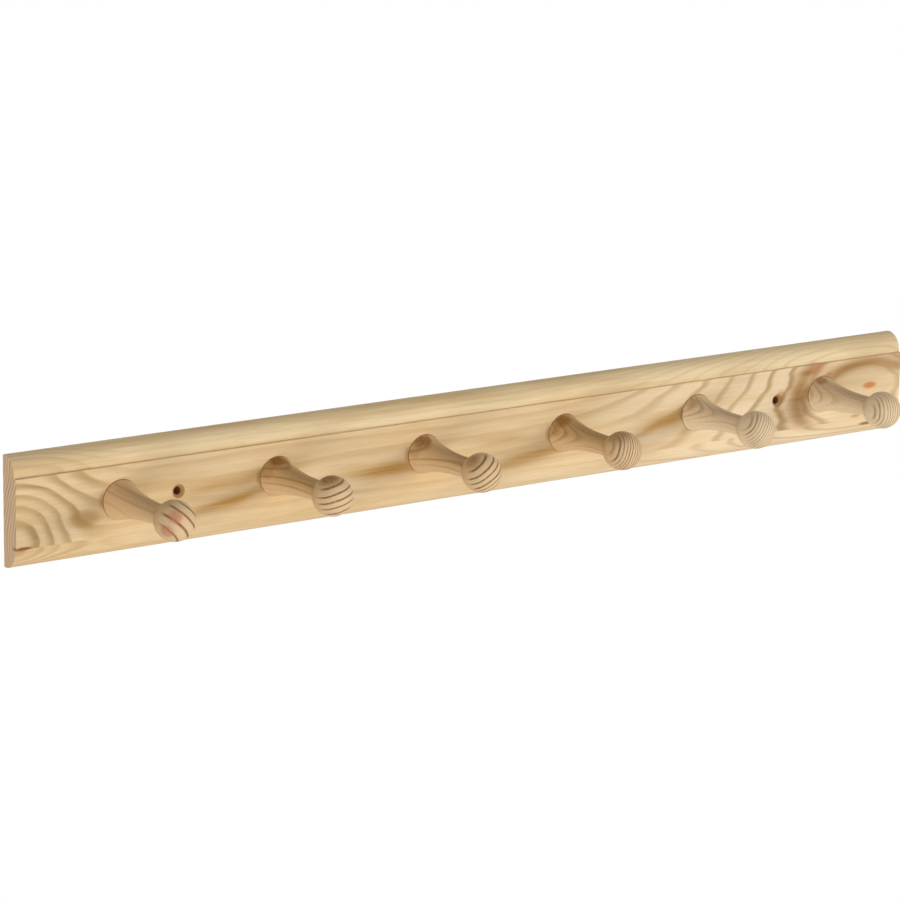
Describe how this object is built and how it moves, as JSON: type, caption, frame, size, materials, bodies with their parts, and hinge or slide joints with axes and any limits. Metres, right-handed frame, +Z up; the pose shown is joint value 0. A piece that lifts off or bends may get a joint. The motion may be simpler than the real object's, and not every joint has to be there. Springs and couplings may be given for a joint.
{
  "type": "wall coat rack",
  "caption": "Straight pine wall rail with moulded long edges and a row of turned ball-ended pegs for hanging coats and hats.",
  "frame": {"origin": "middle of the rail's back face, on the wall, halfway along its length and its height", "axes": "+X along the rail, to the right as seen from the room; +Y into the wall, so the pegs point along -Y; +Z up"},
  "size_m": [0.685, 0.0857, 0.067],
  "materials": {
    "rail_pine": "clear satin lacquer on planed pine",
    "peg_pine": "clear satin lacquer on turned pine",
    "zinc_steel": "zinc-plated steel"
  },
  "bodies": {
    "root": {"rail": "rail_pine", "peg_1": "peg_pine", "peg_2": "peg_pine", "peg_3": "peg_pine", "peg_4": "peg_pine", "peg_5": "peg_pine", "peg_6": "peg_pine", "peg_screw_1": "zinc_steel", "peg_screw_2": "zinc_steel", "peg_screw_3": "zinc_steel", "peg_screw_4": "zinc_steel", "peg_screw_5": "zinc_steel", "peg_screw_6": "zinc_steel"}
  },
  "joints": []
}
